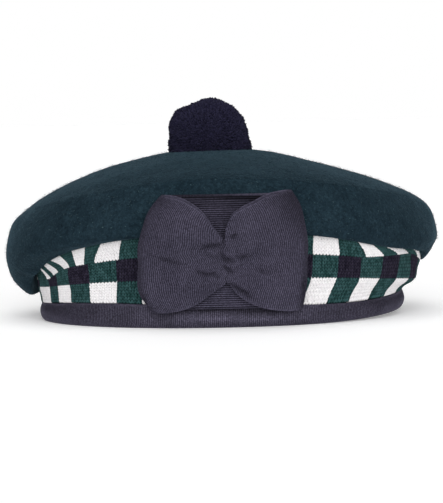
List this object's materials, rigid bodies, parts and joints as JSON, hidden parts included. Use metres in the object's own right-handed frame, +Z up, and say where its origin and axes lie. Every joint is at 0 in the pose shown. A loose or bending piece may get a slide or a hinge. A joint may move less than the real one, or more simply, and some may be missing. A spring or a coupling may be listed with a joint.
{
  "type": "balmoral bonnet",
  "caption": "Round felt bonnet with a wide soft crown, a diced knitted band bound in black ribbon, a ribbon cockade on its left side and a wool toorie on top.",
  "frame": {"origin": "on the surface the bonnet rests on, under the middle of its box", "axes": "+X from the wearer's forehead to the nape, along the bonnet's length; +Y from the cockade on the wearer's left side to the right side; +Z up to the toorie"},
  "size_m": [0.2504, 0.2403, 0.1251],
  "materials": {
    "felt": "dark bottle green wool felt, matt, with short fuzz and pale fibres",
    "diced_knit": "knitted wool in white, green and black checks, matt",
    "ribbon": "black grosgrain ribbon, fine ribs, low sheen",
    "toorie_wool": "blue black cut wool, matt"
  },
  "bodies": {
    "root": {"crown": "felt", "diced_band": "diced_knit", "binding_ribbon": "ribbon", "cockade_backing": "ribbon", "cockade_wing_left": "ribbon", "cockade_wing_right": "ribbon", "toorie": "toorie_wool"}
  },
  "joints": []
}
